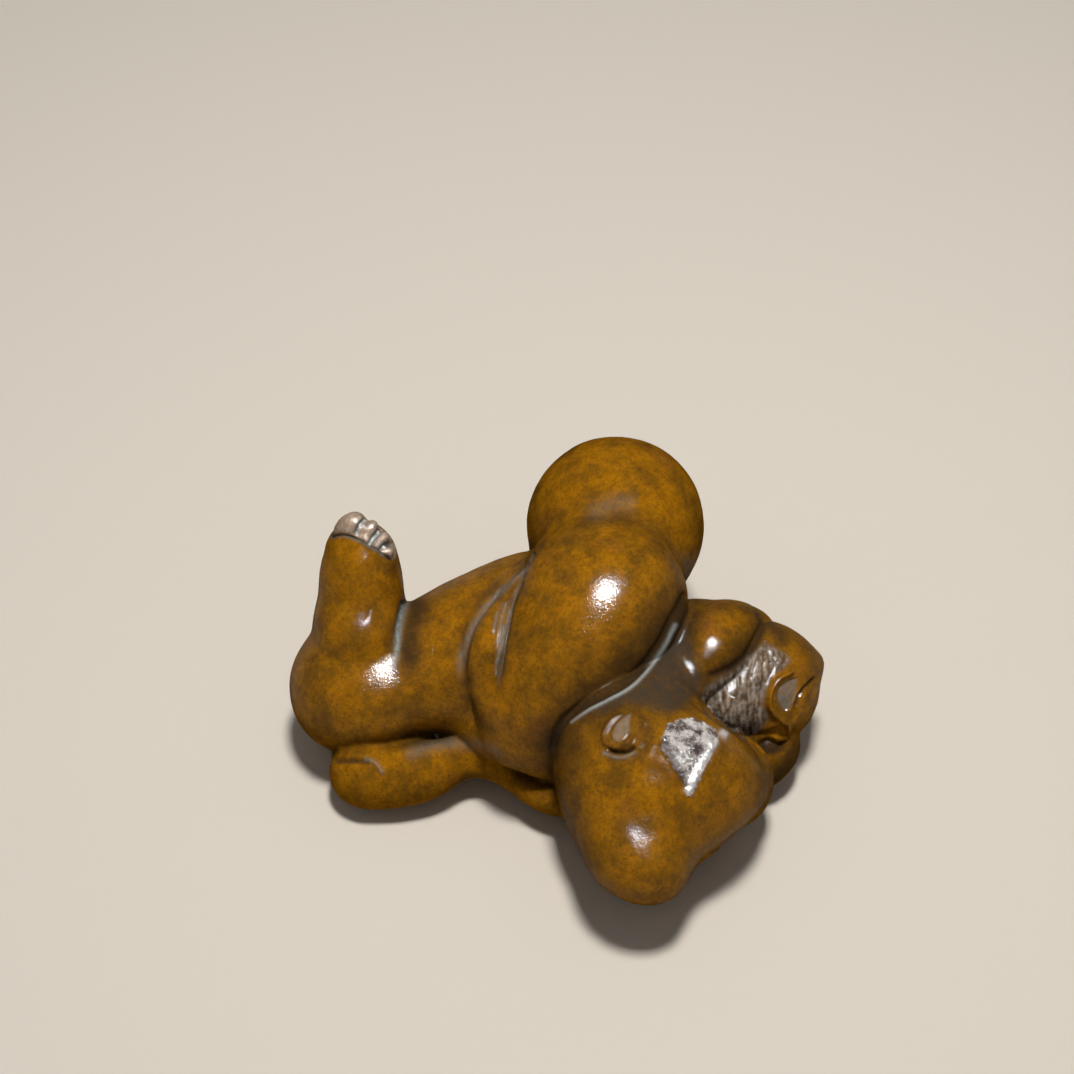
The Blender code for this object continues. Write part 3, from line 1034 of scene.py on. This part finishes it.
def mottled_patina_group():
    """Cloudy brown patina, darkened as painted shade on its downward-facing sides: its colour, and a
    height for its fine pitting.
    """
    tree = bpy.data.node_groups.new("mottled_patina", "ShaderNodeTree")
    for name in ("Light", "Middle", "Dark", "Red"):
        tree.interface.new_socket(name, in_out="INPUT", socket_type="NodeSocketColor")
    tree.interface.new_socket("Toplit", in_out="INPUT", socket_type="NodeSocketFloat")
    tree.interface.new_socket("Color", in_out="OUTPUT", socket_type="NodeSocketColor")
    tree.interface.new_socket("Height", in_out="OUTPUT", socket_type="NodeSocketFloat")
    given = tree.nodes.new("NodeGroupInput").outputs
    place = add_node(tree, "ShaderNodeTexCoord").outputs["Object"]
    names = ("blotches", "drifts", "clouds", "specks", "grain")
    noises = {name: noise_node(tree, place, name) for name in names}
    clouds = ramp_node(tree, noises["clouds"], 0.30, 0.68)
    colour = mix_colour(tree, clouds, given["Middle"], given["Light"])
    for name, low, high, share, tone in PATINA_LAYERS:
        layer = maths(tree, "MULTIPLY", ramp_node(tree, noises[name], low, high), share)
        colour = mix_colour(tree, layer, colour, given[tone])
    # Painted shade: darker on the downward-facing sides, broken up by the blotches
    underside_shade = maths(tree, "SUBTRACT", 1.0, given["Toplit"])
    cloudy = maths(tree, "ADD", noises["blotches"], 0.35)
    uneven = maths(tree, "MULTIPLY", cloudy, underside_shade, clamp=True)
    colour = mix_colour(tree, maths(tree, "MULTIPLY", uneven, UNDERSIDE_SHADE_SHARE), colour, given["Dark"])
    coarse = maths(tree, "MULTIPLY", noises["specks"], 0.6)
    height = maths(tree, "ADD", coarse, maths(tree, "MULTIPLY", noises["grain"], 0.4))
    add_node(tree, "NodeGroupOutput", {"Color": colour, "Height": height})
    return tree


def patinated_brass(colours):
    material = bpy.data.materials.new("patinated_brass")
    material.use_nodes = True
    tree = material.node_tree
    shader = tree.nodes["Principled BSDF"]
    patina = add_node(tree, "ShaderNodeGroup", node_tree=mottled_patina_group())
    tones = (colours.ochre, colours.chestnut, colours.umber, colours.russet)
    for name, value in zip(("Light", "Middle", "Dark", "Red"), tones):
        patina.inputs[name].default_value = (*value, 1)
    tree.links.new(mask_node(tree, "worn"), patina.inputs["Toplit"])
    place = add_node(tree, "ShaderNodeTexCoord").outputs["Object"]
    hollow, grime, hair, tuft = (mask_node(tree, name) for name in ("hollow", "grime", "hair", "tuft"))
    deposit, toes, dull = (mask_node(tree, name) for name in ("deposit", "toes", "dull"))
    polished, silver = (mask_node(tree, name) for name in ("polished", "silver"))
    patchy = ramp_node(tree, noise_node(tree, place, "patchy"), 0.35, 0.65)
    flaky = ramp_node(tree, noise_node(tree, place, "flaky"), 0.42, 0.58)
    sparkling = ramp_node(tree, noise_node(tree, place, "sparkling"), 0.38, 0.60)
    # Painted shade in the creases
    crease_shaded = maths(tree, "MULTIPLY", hollow, CREASE_SHADE_SHARE)
    colour = mix_colour(tree, crease_shaded, patina.outputs["Color"], (*colours.shade_brown, 1))
    # Painted shade in the grooves and along the shade lines
    colour = mix_colour(tree, maths(tree, "MULTIPLY", grime, GROOVE_SHADE_SHARE), colour, (*colours.shade_grey, 1))
    hair = flecked(tree, hair, patchy, *HAIR_FLECKS)
    tress = mix_colour(tree, silver, (*colours.hair, 1), (*colours.silver, 1))
    colour = mix_colour(tree, hair, colour, tress)
    # Forelock: painted glints of bright metal over purple-grey facets, partly rubbed metal, kept off the
    # painted shade
    rubbed = maths(tree, "MULTIPLY", sparkling, maths(tree, "SUBTRACT", 1.0, grime))
    forelock = mix_colour(tree, rubbed, (*colours.tarnish, 1), (*colours.rubbed_metal_and_glint, 1))
    colour = mix_colour(tree, tuft, colour, forelock)
    # Toes: silver and bright metal, partly rubbed metal and partly a painted highlight on their upturned
    # tips
    toe_silver = maths(tree, "MULTIPLY", toes, TOE_SILVER)
    colour = mix_colour(tree, toe_silver, colour, (*colours.silver, 1))
    # Painted glints join the rubbed toes here
    bare_and_glint = maths(tree, "MAXIMUM", flecked(tree, toes, flaky, *TOE_FLECKS), polished)
    colour = mix_colour(tree, bare_and_glint, colour, (*colours.rubbed_metal_and_glint, 1))
    # Grey-green deposits, with painted sheens
    crust_and_sheen = flecked(tree, deposit, flaky, *CRUST_FLECKS)
    colour = mix_colour(tree, crust_and_sheen, colour, (*colours.verdigris_and_sheen, 1))
    # Painted shade at the grazing rims
    facing = add_node(tree, "ShaderNodeLayerWeight", {"Blend": RIM_BLEND}).outputs["Facing"]
    colour = mix_colour(tree, maths(tree, "MULTIPLY", facing, RIM_SHADE_SHARE), colour, (*colours.shade_brown, 1))
    tree.links.new(colour, shader.inputs["Base Color"])
    tree.links.new(maths(tree, "MULTIPLY", bare_and_glint, RUBBED_METALLIC), shader.inputs["Metallic"])
    shader.inputs["Roughness"].default_value = PATINA_ROUGHNESS
    shader.inputs["Specular IOR Level"].default_value = 0.0
    wax = maths(tree, "SUBTRACT", 1.0, facing)
    for matt, share in zip((hollow, grime, dull, crust_and_sheen), UNWAXED.values()):
        left = maths(tree, "SUBTRACT", 1.0, maths(tree, "MULTIPLY", matt, share))
        wax = maths(tree, "MULTIPLY", wax, left, clamp=True)
    tree.links.new(wax, shader.inputs["Coat Weight"])
    shader.inputs["Coat IOR"].default_value = WAX_IOR
    shader.inputs["Coat Roughness"].default_value = WAX_ROUGHNESS
    bump = add_node(tree, "ShaderNodeBump", {"Height": patina.outputs["Height"], **PITTING})
    for name in ("Normal", "Coat Normal"):
        tree.links.new(bump.outputs["Normal"], shader.inputs[name])
    return material


def pale_floor_material(colour):
    material = bpy.data.materials.new("pale_floor")
    material.use_nodes = True
    shader = material.node_tree.nodes["Principled BSDF"]
    shader.inputs["Base Color"].default_value = (*colour, 1)
    shader.inputs["Roughness"].default_value = 0.8
    shader.inputs["Specular IOR Level"].default_value = 0.0
    return material


def rest_on_table(mesh):
    """Flattens the skin where it rests."""
    places = places_of(mesh)
    places[:, 2] = np.maximum(places[:, 2], FLAT_DEPTH)
    set_places(mesh, places)


def add_object(name, mesh):
    piece = bpy.data.objects.new(name, mesh)
    bpy.context.scene.collection.objects.link(piece)
    return piece


def add_light(name, way, side, power, colour, sizes):
    """A square light that looks at the figure from the given way."""
    light = bpy.data.lights.new(name, "AREA")
    light.shape = "SQUARE"
    light.size = side
    light.energy = power
    light.color = colour
    lamp = add_object(name, light)
    way = Vector(way).normalized()
    lamp.location = Vector((CAD_LOW + CAD_HIGH) / 2) + sizes.light_distance * way
    lamp.rotation_euler = (-way).to_track_quat("-Z", "Y").to_euler()
    return lamp


def length_setting(name, description, default):
    return bpy.props.FloatProperty(
        name=name, description=description, default=default, subtype="DISTANCE", unit="LENGTH"
    )


class TeaPetSizes(bpy.types.PropertyGroup):
    figure_length: length_setting(
        "Figure length",
        "From the bent knee to the far child's forehead",
        float(CAD_HIGH[0] - CAD_LOW[0]),
    )
    relief: bpy.props.FloatProperty(
        name="Relief",
        description="How deep the creases, ears, hair and toes are chased",
        default=1.0,
        min=0.0,
        max=2.0,
        subtype="FACTOR",
    )
    floor_size: length_setting("Floor size", "Side of the square floor", 4.0)
    light_distance: length_setting("Light distance", "From the figure to the key light", 0.32)
    light_size: length_setting("Light size", "Side of the square key light", 0.045)
    gloss_size: length_setting(
        "Gloss light size", "Side of the square light that makes the highlights", 0.046
    )


def colour_setting(name, description, default):
    return bpy.props.FloatVectorProperty(
        name=name, description=description, default=default, size=3, min=0, max=1, subtype="COLOR"
    )


class TeaPetColours(bpy.types.PropertyGroup):
    ochre: colour_setting("Ochre", "Lit, rubbed patina", (0.39, 0.162, 0.004))
    chestnut: colour_setting("Chestnut", "Main patina", (0.25, 0.104, 0.003))
    umber: colour_setting("Umber", "Dark specks of the patina", (0.060, 0.034, 0.008))
    russet: colour_setting("Russet", "Reddish blotches of the patina", (0.22, 0.075, 0.020))
    # Painted shade colour in the creases and at the rims
    shade_brown: colour_setting("Shade_brown", "Dark brown in the hollows", (0.030, 0.018, 0.004))
    # Painted shade colour in the grooves and along the shade lines
    shade_grey: colour_setting("Recess", "Grime in the creases", (0.022, 0.018, 0.014))
    hair: colour_setting("Hair", "Dark wash over the hair", (0.052, 0.042, 0.032))
    # Also paints the toes, partly as a painted highlight
    silver: colour_setting("Silver", "Rubbed strands of the hair", (0.34, 0.30, 0.26))
    tarnish: colour_setting("Tarnish", "Purple-grey facets of the forelock", (0.075, 0.055, 0.055))
    # Also the colour of the painted glints on the forelock, its bevel and knob, and the neck's lip
    rubbed_metal_and_glint: colour_setting("Worn metal", "Rubbed toes and forelock", (0.62, 0.60, 0.59))
    # Also the colour of the painted sheens
    verdigris_and_sheen: colour_setting("Verdigris", "Grey-green deposit in the grooves", (0.34, 0.40, 0.40))
    floor: colour_setting("Floor", "Plain pale floor", (0.66, 0.63, 0.58))


class TEAPET_OT_model_children(bpy.types.Operator):
    """Model the two tumbling children as one patinated casting"""

    bl_idname = "teapet.model_children"
    bl_label = "Model the children"

    def execute(self, context):
        sizes = context.scene.tea_pet_sizes
        mesh = melted_skin()
        settle(mesh)
        refine_details(mesh)
        chase(mesh, sizes.relief)
        rest_on_table(mesh)
        unit, shift = placing(sizes.figure_length)
        set_places(mesh, places_of(mesh) * unit + shift)
        mesh.name = "tumbling_children_skin"
        mesh.materials.clear()
        mesh.materials.append(patinated_brass(context.scene.tea_pet_colours))
        mesh.shade_smooth()
        children = add_object("tumbling_children_skin", mesh)
        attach(children, "root")
        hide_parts(NODE)
        return {"FINISHED"}


class TEAPET_OT_set_stage(bpy.types.Operator):
    """Set the pale floor, the soft studio light and the camera"""

    bl_idname = "teapet.set_stage"
    bl_label = "Set the stage"

    def execute(self, context):
        scene, sizes = context.scene, context.scene.tea_pet_sizes
        unit, shift = placing(sizes.figure_length)
        form = bmesh.new()
        bmesh.ops.create_grid(form, x_segments=1, y_segments=1, size=sizes.floor_size / 2)
        mesh = bpy.data.meshes.new("floor")
        form.to_mesh(mesh)
        form.free()
        mesh.materials.append(pale_floor_material(scene.tea_pet_colours.floor))
        add_object("floor", mesh)
        key = add_light("key_light", KEY_WAY, sizes.light_size, KEY_POWER, KEY_COLOUR, sizes)
        key.visible_glossy = False
        gloss = add_light("gloss_light", GLOSS_WAY, sizes.gloss_size, GLOSS_POWER, GLOSS_COLOUR, sizes)
        gloss.visible_diffuse = False
        world = bpy.data.worlds.new("studio")
        world.use_nodes = True
        background = world.node_tree.nodes["Background"]
        background.inputs["Color"].default_value = (*WORLD_COLOUR, 1)
        background.inputs["Strength"].default_value = WORLD_STRENGTH
        scene.world = world
        lens = bpy.data.cameras.new("photo_camera")
        lens.lens, lens.sensor_width, lens.clip_start = LENS_MM, SENSOR_MM, 0.01
        camera = add_object("photo_camera", lens)
        camera.location = VIEW_EYE * unit + shift
        camera.rotation_euler = (math.pi / 2 - ELEVATION, 0, 0)
        scene.camera = camera
        scene.view_settings.view_transform = "Standard"
        return {"FINISHED"}


class TEAPET_PT_panel(bpy.types.Panel):
    bl_label = "Tea Pet"
    bl_idname = "TEAPET_PT_panel"
    bl_space_type = "VIEW_3D"
    bl_region_type = "UI"
    bl_category = "Tea Pet"

    def draw(self, context):
        for group in (context.scene.tea_pet_sizes, context.scene.tea_pet_colours):
            for name in group.__annotations__:
                self.layout.prop(group, name)
        for operator in OPERATORS:
            self.layout.operator(operator.bl_idname)


OPERATORS = (TEAPET_OT_model_children, TEAPET_OT_set_stage)
CLASSES = (TeaPetSizes, TeaPetColours, *OPERATORS, TEAPET_PT_panel)


def register():
    for kind in CLASSES:
        bpy.utils.register_class(kind)
    bpy.types.Scene.tea_pet_sizes = bpy.props.PointerProperty(type=TeaPetSizes)
    bpy.types.Scene.tea_pet_colours = bpy.props.PointerProperty(type=TeaPetColours)


def unregister():
    del bpy.types.Scene.tea_pet_colours
    del bpy.types.Scene.tea_pet_sizes
    for kind in reversed(CLASSES):
        bpy.utils.unregister_class(kind)


def main():
    register()
    bpy.ops.teapet.model_children()
    bpy.ops.teapet.set_stage()


if __name__ == "__main__":
    main()
